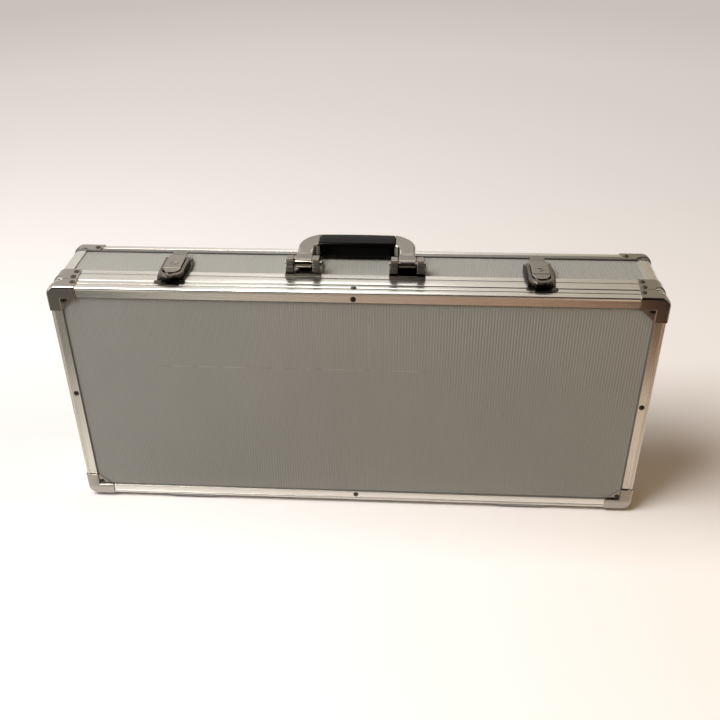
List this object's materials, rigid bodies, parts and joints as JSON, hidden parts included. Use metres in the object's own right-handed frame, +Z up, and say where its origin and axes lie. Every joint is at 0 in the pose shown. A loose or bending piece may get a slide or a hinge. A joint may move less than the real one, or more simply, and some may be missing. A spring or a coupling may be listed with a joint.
{
  "type": "poker chip case",
  "caption": "Flat aluminium-framed carrying case with a hinged lid, steel corner caps, folding handle, two key-lock draw latches and a fitted tray for chips, cards and dice.",
  "frame": {"origin": "On the supporting surface, under the middle of the case, midway between its front and its back.", "axes": "+X runs along the case to its right, +Y goes from the lid through its depth to the back, +Z goes up from the feet to the handle side."},
  "size_m": [0.5638, 0.0914, 0.265],
  "materials": {
    "extrusion": "satin anodised, drawn lengthwise, bright ridges",
    "corner_post": "satin anodised, slightly warmer than the frame",
    "ribbed_panel": "thin board faced with grey sheet, fine upright ribs",
    "corner_steel": "polished nickel plate on pressed steel",
    "hinge_steel": "plain zinc plate",
    "rivet": "nickel plate, domed head with an open eye",
    "handle_chrome": "chrome on a zinc casting",
    "grip_plastic": "gloss black moulding with rounded edges",
    "latch_chrome": "chrome on zinc castings and pressed steel",
    "flocked_tray": "black flocked plastic tray",
    "foam": "soft black foam sheet with rounded edges",
    "foot_rubber": "dull black moulded rubber"
  },
  "bodies": {
    "case_body": {"body_rim_top": "extrusion", "body_rim_right": "extrusion", "body_rim_bottom": "extrusion", "body_rim_left": "extrusion", "back_frame_top": "extrusion", "back_frame_right": "extrusion", "back_frame_bottom": "extrusion", "back_frame_left": "extrusion", "back_panel": "ribbed_panel", "side_panel_top": "ribbed_panel", "side_panel_right": "ribbed_panel", "side_panel_bottom": "ribbed_panel", "side_panel_left": "ribbed_panel", "corner_post_top_right": "corner_post", "corner_post_top_left": "corner_post", "corner_post_bottom_right": "corner_post", "corner_post_bottom_left": "corner_post", "back_cap_top_right": "corner_steel", "back_cap_top_left": "corner_steel", "back_cap_bottom_right": "corner_steel", "back_cap_bottom_left": "corner_steel", "rim_brace_top_right": "corner_steel", "rim_brace_top_left": "corner_steel", "rim_brace_bottom_right": "corner_steel", "rim_brace_bottom_left": "corner_steel", "hinge_body_leaf_left": "hinge_steel", "hinge_body_leaf_right": "hinge_steel", "handle_bracket_left": "handle_chrome", "handle_bracket_right": "handle_chrome", "latch_base_left": "latch_chrome", "latch_base_right": "latch_chrome", "chip_tray": "flocked_tray", "body_rivets": "rivet", "hinge_pins": "hinge_steel", "handle_pins": "hinge_steel", "latch_pins": "hinge_steel", "feet": "foot_rubber"},
    "lid": {"lid_frame_top": "extrusion", "lid_frame_right": "extrusion", "lid_frame_bottom": "extrusion", "lid_frame_left": "extrusion", "lid_panel": "ribbed_panel", "lid_foam": "foam", "lid_cap_top_right": "corner_steel", "lid_cap_top_left": "corner_steel", "lid_cap_bottom_right": "corner_steel", "lid_cap_bottom_left": "corner_steel", "hinge_lid_leaf_left": "hinge_steel", "hinge_lid_leaf_right": "hinge_steel", "latch_strike_left": "latch_chrome", "latch_strike_right": "latch_chrome", "lid_rivets": "rivet"},
    "handle": {"handle_frame": "handle_chrome", "handle_grip": "grip_plastic"},
    "latch_lever_left": {"latch_lever_left": "latch_chrome"},
    "latch_hook_left": {"latch_hook_left": "latch_chrome"},
    "lock_core_left": {"lock_core_left": "latch_chrome"},
    "latch_lever_right": {"latch_lever_right": "latch_chrome"},
    "latch_hook_right": {"latch_hook_right": "latch_chrome"},
    "lock_core_right": {"lock_core_right": "latch_chrome"}
  },
  "joints": [
    {"name": "lid_hinge", "type": "hinge", "parent": "case_body", "child": "lid", "pos_m": [0, -0.02905, 0.0022], "axis": [1, 0, 0], "range_deg": [0, 95]},
    {"name": "handle_pivot", "type": "hinge", "parent": "case_body", "child": "handle", "pos_m": [0, -0.00515, 0.2572], "axis": [1, 0, 0], "range_deg": [0, 105]},
    {"name": "lever_pivot_left", "type": "hinge", "parent": "case_body", "child": "latch_lever_left", "pos_m": [-0.1688, -0.02275, 0.2526], "axis": [1, 0, 0], "range_deg": [0, 90]},
    {"name": "hook_pivot_left", "type": "hinge", "parent": "latch_lever_left", "child": "latch_hook_left", "pos_m": [-0.1688, -0.01275, 0.2526], "axis": [1, 0, 0], "range_deg": [-90, 0]},
    {"name": "lock_turn_left", "type": "hinge", "parent": "latch_lever_left", "child": "lock_core_left", "pos_m": [-0.1688, -0.00805, 0.2567], "axis": [0, 0, 1], "range_deg": [0, 90]},
    {"name": "lever_pivot_right", "type": "hinge", "parent": "case_body", "child": "latch_lever_right", "pos_m": [0.1688, -0.02275, 0.2526], "axis": [1, 0, 0], "range_deg": [0, 90]},
    {"name": "hook_pivot_right", "type": "hinge", "parent": "latch_lever_right", "child": "latch_hook_right", "pos_m": [0.1688, -0.01275, 0.2526], "axis": [1, 0, 0], "range_deg": [-90, 0]},
    {"name": "lock_turn_right", "type": "hinge", "parent": "latch_lever_right", "child": "lock_core_right", "pos_m": [0.1688, -0.00805, 0.2567], "axis": [0, 0, 1], "range_deg": [0, 90]}
  ],
  "couplings": [
    {"joint": "hook_pivot_left", "follows": "lever_pivot_left", "ratio": -1},
    {"joint": "hook_pivot_right", "follows": "lever_pivot_right", "ratio": -1}
  ]
}
